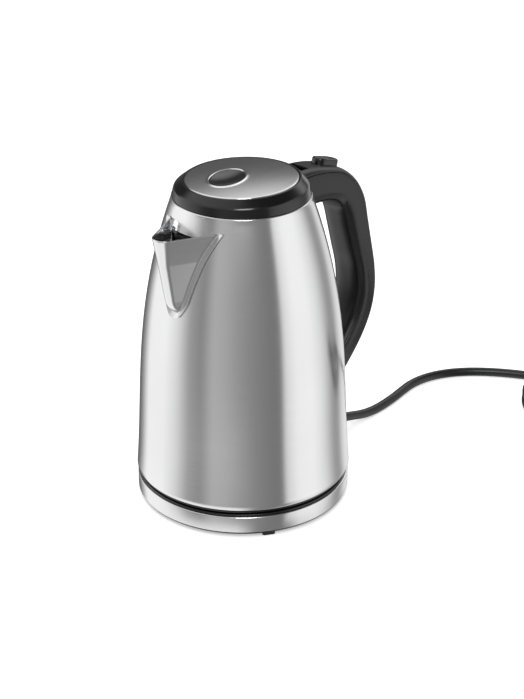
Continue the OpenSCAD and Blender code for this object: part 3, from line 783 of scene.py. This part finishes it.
CAP_AT, CAP_TURN = (-8.5, 5), 18
CAP_A, CAP_B = 16.5, 12.0
DISC_DOME = 1.5


def dome(x, y):
    """Height of the steel disc's face above its plane."""
    return 0.9 + DISC_DOME * (1 - (x * x + y * y) / DISC_R**2)


def oval(grow, angle, share=1.0):
    """Point of the cap's outline, grown outwards, or that share of the way from its centre."""
    x, y = (CAP_A + grow) * share * math.cos(angle), (CAP_B + grow) * share * math.sin(angle)
    c, s = math.cos(math.radians(CAP_TURN)), math.sin(math.radians(CAP_TURN))
    return CAP_AT[0] + x * c - y * s, CAP_AT[1] + x * s + y * c


def make_lid_ring():
    line = rounded([(45.6, 225.9, 0.2), (LID_R - 0.1, 226.0, 0.5), (LID_R - 0.5, 228.5, 1),
                    (LID_R - 1.5, 232.4, 4.5), (DISC_R + 1.5, DISC_Z + 0.7, 0.8),
                    (DISC_R + 0.35, DISC_Z + 0.8, 0.3), (DISC_R + 0.3, DISC_Z - 0.4),
                    (36, DISC_Z - 1), (36, DISC_Z - 2), (44.6, 230)], 8)
    made = plain_object("lid_rim", *tipped(lathe(line, 200)))
    carve(made, block((40, -HINGE_HALF, 226), (60, HINGE_HALF, 230.1)))
    dress(made, lid_black, "lid", "lid_black", ("lid_ring",))


def make_disc():
    sides, rows = 180, 24
    angles = np.linspace(0, 2 * math.pi, sides + 1)[:-1]

    profile = []
    hole = [(-1.1, -0.9), (-0.6, -0.1), (-0.1, 0.3), (0.3, 0.36), (0.7, 0.2), (1.1, 0.05), (2.2, 0)]
    for t, lift in hole:
        profile.append(("hole", t, lift))
    for t in np.linspace(0, 1, rows)[1:-1]:
        profile.append(("sheet", t, 0))
    for t, lift in [(1.0, 0), (0.55, -0.03), (0.25, -0.14), (0.05, -0.4), (0, -0.9)]:
        profile.append(("edge", t, lift))
    points = []
    for kind, t, lift in profile:
        for a in angles:
            inside = oval(2.2, a - math.radians(CAP_TURN))
            outside = ((DISC_R - 1.1) * math.cos(a), (DISC_R - 1.1) * math.sin(a))
            if kind == "hole":
                x, y = oval(t, a - math.radians(CAP_TURN))
            elif kind == "sheet":
                x, y = (p * (1 - t) + q * t for p, q in zip(inside, outside))
            else:
                r = DISC_R - 0.1 - t
                x, y = r * math.cos(a), r * math.sin(a)
            points.append((x, y, dome(x, y) + lift))
    faces = grid(len(profile), sides, False, True)
    piece("lid_steel_disc", at_disc((points, faces)),
          steel_disc, "lid", "disc_steel", ("lid_disc",), sharp=60)


def make_cap():
    sides = 120
    angles = np.linspace(0, 2 * math.pi, sides + 1)[:-1]
    rim = dome(*CAP_AT) - 0.9
    rows = [(-0.3, rim - 0.8), (-0.3, rim + 0.35), (-0.45, rim + 0.6), (-0.8, rim + 0.72), (-1.3, rim + 0.7)]
    dish = 1.5
    points = [(*oval(inset, a), z) for inset, z in rows for a in angles]
    for share in np.linspace(1, 0, 15)[1:]:
        points += [(*oval(-1.3, a, share), rim + 0.7 - dish * (1 - share**2)) for a in angles]
    rows = len(points) // sides
    piece("lid_oval_cap", at_disc((points, grid(rows, sides, False, True))),
          cap_black, "lid", "cap_black", ("lid_cap",), sharp=60)


def make_lid_inside():
    liner = rounded([(0, 213.5), (40.3, 213.5, 1), (41.6, 214.4, 0.5), (41.8, 216.4, 0.3), (40.2, 216.4),
                     (40.2, 219.4), (42.3, 219.4, 0.3), (42.9, 226), (45.4, 227.1), (45.4, 228), (44, 228),
                     (41, 226), (39.4, 215.4), (0, 215.4)], 4)
    made = plain_object("lid_liner", *lathe(liner, 160))
    for a in np.radians([90, 210, 330]):
        carve(made, moved(lathe([(0, 210), (3.1, 210), (3.1, 213.2), (1.5, 213.6), (1.5, 220), (0, 220)], 32),
                          (30 * math.cos(a), 30 * math.sin(a), 0)))
    dress(made, inner_black, "lid", "black_plastic", ("lid_inner",))
    seal = rounded([(40.25, 216.5), (42.3, 216.5, 0.3), (43, 217.9, 0.5), (42.4, 219.3, 0.3),
                    (40.25, 219.3)], 4)
    piece("lid_gasket", lathe(seal, 160), silicone, "lid", "silicone", ("lid_seal",))
    seat = rounded([(43.6, 212, 0.4), (45.6, 212, 0.4), (45.6, 221), (46.3, 224.4, 0.4),
                    (43.6, 224.4, 0.8)], 4)
    piece("neck_seat", lathe(seat, 160), inner_black, "kettle", "black_plastic", ("lid_seat",))
    arm = rounded([(44.2, 228.1), (46.9, 228.1), (50.4, 227.4, 0.5), (51.4, 222.2, 1), (56.6, 221.6, 1),
                   (61.6, 221.6, 0.4), (61.6, 222.8, 0.4), (59.2, 224.6, 0.5), (59.2, 227.1, 0.5),
                   (52.4, 227.25, 2), (49.4, 229.3, 1.5), (44.2, 229.7)], 4)
    piece("hinge_arm", upright(plate(arm, 14, 0.5)), cover_black, "lid", "handle_black", ("lid_hinge_arm",))


make_lid_ring()
make_disc()
make_cap()
make_lid_inside()

# ---- Handle ----

SPINE = [
    (44, 229.7), (62.1, 229), (78.3, 226.1), (94.3, 220.7), (108, 210.1), (117.8, 194.7),
    (122.6, 175.9), (127.4, 155.8), (131.7, 135.9), (132.8, 118.1), (129.1, 100), (119.2, 82.5),
    (104.6, 66.4), (89.3, 53.6), (70.1, 43.8),
]
PALM = [
    (44, 200.6), (62, 200.6), (77, 199.2), (87.6, 195.8), (94.6, 189.6), (98.6, 180.6),
    (102.4, 168.4), (107.5, 151.5), (112.6, 134.4), (114, 116.5), (109.2, 102.5), (100.1, 89.5),
    (89.1, 77.5), (78.3, 67.7), (63.7, 60.5),
]
GRIP_W = 14.5
HANDLE_LENGTH = 290
SPINE_POWER, PALM_POWER = 4.6, 3.0
SEAM = 51.0
GRIP_SEAM = 119.0
MM_PER_DEGREE = 0.3


def handle_point(u, angle, inset):
    spine, palm = through(SPINE, u), through(PALM, u)
    mid, half = (spine + palm) / 2, (spine - palm) / 2
    c, s = math.cos(math.radians(angle)), math.sin(math.radians(angle))
    power = SPINE_POWER if c > 0 else PALM_POWER
    reach = (abs(c) ** power + abs(s) ** power) ** (-1 / power)
    p = mid + half * (1 - inset / np.linalg.norm(half)) * reach * c
    return p[0], -(GRIP_W - inset) * reach * s, p[1]


def room_for_body(z):
    """Radius that the handle's ends keep clear of: the body, then the lid's ring."""
    if z < NECK_Z - 0.6:
        return body_radius(z) + 0.25
    return LID_R + 0.5


def handle_span(angle):
    """Where a line along the handle leaves the body and where it comes back."""
    steps = np.linspace(0, 1, 500)
    clear = []
    for u in steps:
        x, y, z = handle_point(u, angle, 0)
        clear.append(math.hypot(x, y) > room_for_body(z))
    clear = np.nonzero(clear)[0]
    ends = []
    for inside, outside in ((steps[clear[0] - 1], steps[clear[0]]), (steps[clear[-1] + 1], steps[clear[-1]])):
        for _ in range(18):
            middle = (inside + outside) / 2
            x, y, z = handle_point(middle, angle, 0)
            if math.hypot(x, y) > room_for_body(z):
                outside = middle
            else:
                inside = middle
        ends.append(outside)
    return ends


def handle_sheet(low, high, wall, edge, lift=None, span=None, columns=48, rows=130):
    """A shell of the handle between two angles: rounded at its edges, and following the body
    at its ends unless span gives them. lift(angle) raises the surface."""
    angles = with_fine_ends(low, high, columns, edge / MM_PER_DEGREE)
    ends = [span or handle_span(a) for a in angles]
    outer, inner = [], []
    for w in with_fine_ends(0, 1, rows, edge / HANDLE_LENGTH):
        out_row, in_row = [], []
        for a, (start, end) in zip(angles, ends):
            u = start + (end - start) * w
            side = min(a - low, high - a) * MM_PER_DEGREE
            tip = min(w, 1 - w) * HANDLE_LENGTH
            inset = min(edge_drop(side, edge) + edge_drop(tip, edge), edge)
            raised = lift(a) if lift else 0
            out_row.append(handle_point(u, a, inset - raised))
            in_row.append(handle_point(u, a, wall))
        outer.append(out_row)
        inner.append(in_row)
    n, m = len(angles), len(outer)
    points = [p for row in outer + inner for p in row]
    skin = grid(m, n)
    faces = skin + [tuple(i + m * n for i in reversed(f)) for f in skin]
    for j in (0, n - 1):
        faces += [(i * n + j, (i + 1) * n + j, (m + i + 1) * n + j, (m + i) * n + j) for i in range(m - 1)]
    for i in (0, m - 1):
        faces += [(i * n + j, i * n + j + 1, (m + i) * n + j + 1, (m + i) * n + j) for j in range(n - 1)]
    return points, faces


BUTTON_AT, BUTTON_TILT = (85.6, 0, 223.3), 16
BUTTON_LENGTH, BUTTON_WIDTH = 22.5, 12.0


def stadium(length, width, steps=24):
    """Outline of a slot with round ends."""
    half = (length - width) / 2
    return arc((half, 0), width / 2, -90, 90, steps) + arc((-half, 0), width / 2, 90, 270, steps)


def at_button(part):
    return moved(moved(part, tilt=BUTTON_TILT), BUTTON_AT)


def grip_ridge(angle):
    """The grip stands proud, with a bead along both its edges."""
    side = min(angle - GRIP_SEAM, 360 - GRIP_SEAM - angle) * MM_PER_DEGREE
    bead = math.exp(-(((side - 1.1) / 0.75) ** 2)) * 0.55
    return 0.1 + bead


def make_handle():
    seam_gap = 0.6
    shell = handle_sheet(SEAM + seam_gap, 360 - SEAM - seam_gap, 2.4, 0.6, columns=84)
    piece("handle_housing", shell, handle_black, "kettle", "handle_black", ("handle_shell",))
    cover = plain_object("handle_top_cover", *handle_sheet(-SEAM + 0.1, SEAM - 0.1, 1.6, 0.55, columns=30))
    well = [[(x, y, z) for x, y in stadium(BUTTON_LENGTH + 0.8, BUTTON_WIDTH + 0.8)] for z in (-14, 10)]
    carve(cover, at_button(stacked(well)))
    carve(cover, block((40, -HINGE_HALF, 205), (60.4, HINGE_HALF, 235)))
    dress(cover, cover_black, "kettle", "handle_black", ("handle_cover",))
    grip = handle_sheet(GRIP_SEAM, 360 - GRIP_SEAM, 0.3, 0.7, grip_ridge, (0.27, 0.88), 48, 110)
    piece("palm_grip", grip, grip_black, "kettle", "grip_black", ("grip_insert",))


def make_button():
    rows = [(0, -4.4), (0, 3.6)]
    rows += [(1.5 - 1.5 * math.cos(a), 3.6 + 1.5 * math.sin(a)) for a in np.radians([15, 30, 45, 60, 75, 90])]
    rows += [(2.1, 5.0), (3.0, 4.8), (4.2, 4.65), (5.9, 4.6)]
    rings = []
    for inset, z in rows:
        line = stadium(BUTTON_LENGTH - 2 * inset, BUTTON_WIDTH - 2 * inset)
        rings.append([(x, y, z) for x, y in line])
    piece("lid_push_button", at_button(stacked(rings)),
          button_black, "lid_button", "button_black", ("lid_button",), sharp=50)


make_handle()
make_button()

# ---- Switch ----


def make_switch():
    outside, half, top = 83.0, 17.0, 42.8
    rows = []
    for z, inset in [(23.3, 0.9), (23.6, 0.4), (24.2, 0), (40.8, 0), (41.8, 0.5), (42.5, 1.3), (top, 2.6)]:
        y_out = half - inset
        ring = []
        for t in np.linspace(-1, 1, 41):
            y = y_out * math.sin(t * math.pi / 2)
            near = math.sqrt(max((body_radius(z) + 0.2) ** 2 - y**2, 0))
            far = near + (outside - inset - near) * (1 - abs(y / y_out) ** 4) ** 0.25
            ring.append((far, y, z))
        for t in np.linspace(1, -1, 41)[1:-1]:
            y = y_out * math.sin(t * math.pi / 2)
            ring.append((math.sqrt((body_radius(z) + 0.2) ** 2 - y**2), y, z))
        rows.append(ring)
    made = plain_object("switch_surround", *stacked(rows))
    carve(made, block((60, -12.7, 20), (95, 12.7, 41)))
    dress(made, handle_black, "kettle", "handle_black", ("switch_housing",))

    rings = []
    for x, width, low, high, inset in [
        (58, 6, 29.2, 33.4, 1.4), (60, 6, 28.4, 34, 0), (84.2, 6, 29.4, 34, 0), (84.6, 11.4, 29.4, 34, 0.2),
        (85.4, 12, 29.3, 33.9, 0), (90, 12, 28.9, 33.4, 0), (96, 12, 28.2, 32.2, 0),
        (100.5, 12, 27.6, 31.2, 0), (102.2, 11.7, 27.9, 30.7, 0.3), (103, 11, 28.5, 30, 0.7),
    ]:
        ring = []
        middle, half = (low + high) / 2, (high - low) / 2 - inset * 0.3
        for a in np.linspace(0, 2 * math.pi, 49)[:-1]:
            c, s = math.cos(a), math.sin(a)
            reach = (abs(c) ** 5 + abs(s) ** 5) ** -0.2
            ring.append((x, (width - inset) * reach * c, middle + half * reach * s))
        rings.append(ring)
    piece("switch_paddle", stacked(rings),
          button_black, "switch_lever", "handle_black", ("switch_lever",), sharp=50)


make_switch()

# ---- Springs ----


def helix(radius, turns, length):
    """Points of a helix that winds up the Z axis."""
    last = 20 * turns
    angles = np.linspace(0, 2 * math.pi * turns, last + 1)
    return [(radius * math.cos(a), radius * math.sin(a), length * i / last) for i, a in enumerate(angles)]


def make_springs():
    path = [(54 + x, z - 3.2, 223.5 + y) for x, y, z in helix(2.4, 7, 6.4)]
    made = wire("lid_torsion_spring", path, 0.35)
    dress(made, steel_plain, "kettle", "plain_steel", ("hinge_spring",))
    path = [(3.5 + x, y, z - 9.6) for x, y, z in helix(3.2, 6, 11)]
    made = wire("button_return_spring", at_button((path, []))[0], 0.4)
    dress(made, steel_plain, "kettle", "plain_steel", ("button_spring",))


make_springs()

# ---- Materials of the CAD parts that stay in view ----

KEPT = [
    (steel_plain, ("base_screws", "switch_pin", "handle_screws", "hinge_pin", "lid_screws", "latch_pin")),
    (copper, ("base_contacts", "connector_pin", "connector_rings", "bimetal_disc")),
    (grey_plastic, ("appliance_connector", "thermostat_control", "hinge_bracket", "button_carrier",
                    "latch_lever")),
    (wire_pvc, ("base_wires",)),
    (inner_black, ("underside_cover",)),
    (steel_plate, ("heating_plate",)),
    (aluminium, ("heat_spreader", "heating_element")),
    (silicone, ("plate_seal", "steam_tube")),
]


def paint_kept_nodes():
    for material, names in KEPT:
        for name in names:
            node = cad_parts[name]
            node.data.materials.clear()
            node.data.materials.append(material)


paint_kept_nodes()

# ---- Studio ----

# Brightness of the studio walls by the angle round the object: 0 is behind the camera and
# 90 is to its right, in degrees.
STUDIO = [
    (-180, 0.14), (-155, 0.16), (-142, 0.5), (-128, 1.30), (-96, 1.34), (-78, 1.02), (-62, 0.46),
    (-47, 0.32), (-33, 0.60), (-19, 0.54), (-5, 0.42), (8, 0.35), (21, 0.30), (38, 0.25), (43, 0.25),
    (47, 1.05), (62, 1.34), (82, 1.34), (98, 1.08), (118, 0.44), (128, 0.42), (142, 0.95), (160, 1.0),
    (172, 0.3), (180, 0.14),
]
# The same for what lies low in front of it, which the underside of the spout sees
LOW_STUDIO = [
    (-180, 0.3), (-150, 0.3), (-136, 1.3), (-8, 1.3), (14, 0.34), (24, 0.28), (52, 0.25), (66, 1.0),
    (90, 1.2), (120, 0.5), (180, 0.3),
]
# The same for what lies high up
CEILING = [(-180, 0.9), (-120, 1.2), (-60, 0.9), (-20, 0.75), (20, 0.3), (60, 0.12), (120, 0.12), (180, 0.9)]
# Brightness above and behind the object, by how high and how far to the right
BACK_STUDIO = [(0.0, 0.10), (0.30, 0.12), (0.39, 0.2), (0.50, 0.85), (0.62, 1.5), (1.0, 1.5)]


def fill_ramp(ramp, stops, top):
    """Puts (position, value) stops into a colour ramp, as shares of top."""
    while len(ramp.elements) > 1:
        ramp.elements.remove(ramp.elements[-1])
    ramp.elements[0].position = stops[0][0]
    ramp.elements[0].color = (*(stops[0][1] / top,) * 3, 1)
    for position, value in stops[1:]:
        ramp.elements.new(position).color = (*(value / top,) * 3, 1)


def make_world():
    """White to the camera, and to everything else a studio of soft boxes and dark gaps."""
    world = bpy.data.worlds.new("studio")
    bpy.context.scene.world = world
    world.use_nodes = True
    tree = world.node_tree
    tree.nodes.clear()
    way = add_node(world, "ShaderNodeTexCoord").outputs["Generated"]
    heading = math.radians(LOOK_AZIMUTH)
    right = (math.sin(heading), -math.cos(heading), 0)
    back = (-math.cos(heading), -math.sin(heading), 0)

    def dot(vector):
        inputs = {0: way, 1: vector}
        return add_node(world, "ShaderNodeVectorMath", inputs, operation="DOT_PRODUCT").outputs["Value"]

    def maths(operation, *values):
        inputs = dict(enumerate(values))
        return add_node(world, "ShaderNodeMath", inputs, operation=operation).outputs[0]

    def walls(stops):
        ramp = add_node(world, "ShaderNodeValToRGB", {"Fac": share})
        fill_ramp(ramp.color_ramp, [((a + 180) / 360, v) for a, v in stops], top)
        return ramp.outputs["Color"]

    def blend(value, low, high, a, b):
        step = add_node(world, "ShaderNodeMapRange", {"Value": value, "From Min": low, "From Max": high})
        step.interpolation_type = "SMOOTHSTEP"
        mix = add_node(world, "ShaderNodeMix", {"Factor": step.outputs[0]}, data_type="RGBA")
        tree.links.new(a, mix.inputs["A"])
        tree.links.new(b, mix.inputs["B"])
        return mix.outputs["Result"]

    angle = maths("ARCTAN2", dot(right), dot(back))
    share = maths("MULTIPLY_ADD", angle, 1 / (2 * math.pi), 0.5)
    top = 1.5
    height = add_node(world, "ShaderNodeSeparateXYZ", {0: way}).outputs["Z"]
    ceiling = add_node(world, "ShaderNodeValToRGB", {"Fac": share})
    fill_ramp(ceiling.color_ramp, [((a + 180) / 360, v) for a, v in CEILING], top)
    rise = maths("MULTIPLY_ADD", dot(right), 0.45, height)
    behind = add_node(world, "ShaderNodeValToRGB", {"Fac": rise})
    fill_ramp(behind.color_ramp, BACK_STUDIO, top)
    room = blend(height, -0.50, -0.57, walls(STUDIO), walls(LOW_STUDIO))
    room = blend(height, 0.45, 0.62, room, ceiling.outputs["Color"])
    away = maths("MULTIPLY", dot(back), -1)
    side = maths("MULTIPLY", away, maths("GREATER_THAN", height, 0.08))
    room = blend(side, 0.45, 0.65, room, behind.outputs["Color"])
    lit = add_node(world, "ShaderNodeBackground", {"Color": room, "Strength": top})
    white = add_node(world, "ShaderNodeBackground", {"Color": (1, 1, 1, 1), "Strength": 1.0})
    seen = add_node(world, "ShaderNodeLightPath").outputs["Is Camera Ray"]
    mixed = add_node(world, "ShaderNodeMixShader", {0: seen, 1: lit.outputs[0], 2: white.outputs[0]})
    out = add_node(world, "ShaderNodeOutputWorld")
    tree.links.new(mixed.outputs[0], out.inputs["Surface"])


def soft_box(name, size, angle, elevation, distance, radiance, glossy=True):
    """A square soft light that faces the object. angle is as in STUDIO."""
    data = bpy.data.lights.new(name, "AREA")
    data.shape = "SQUARE"
    data.size = size
    data.energy = radiance * math.pi * size * size
    light = bpy.data.objects.new(name, data)
    bpy.context.scene.collection.objects.link(light)
    a, e = math.radians(LOOK_AZIMUTH + 180 + angle), math.radians(elevation)
    way = Vector((math.cos(a) * math.cos(e), math.sin(a) * math.cos(e), math.sin(e)))
    light.location = Vector((0, 0, 0.12)) + way * distance
    light.rotation_euler = way.to_track_quat("Z", "Y").to_euler()
    light.visible_glossy = glossy
    light.visible_camera = False
    return light


def make_floor():
    made = plain_object("floor", [(-9000, -9000, 0), (9000, -9000, 0), (9000, 9000, 0), (-9000, 9000, 0)],
                        [(0, 1, 2, 3)])
    paint = new_material("floor_paint", (0.9, 0.9, 0.9), 0.9)
    shader = paint.node_tree.nodes["Principled BSDF"]
    shader.inputs["Emission Color"].default_value = (1, 1, 1, 1)
    shader.inputs["Emission Strength"].default_value = 0.45
    made.data.materials.append(paint)
    made.visible_glossy = False


make_world()
make_floor()
soft_box("camera_side_box", 0.55, 4, 47, 1.6, 9.0)
soft_box("overhead_box", 1.6, 0, 84, 1.8, 1.6, glossy=False)
bpy.context.scene.view_settings.view_transform = "Standard"
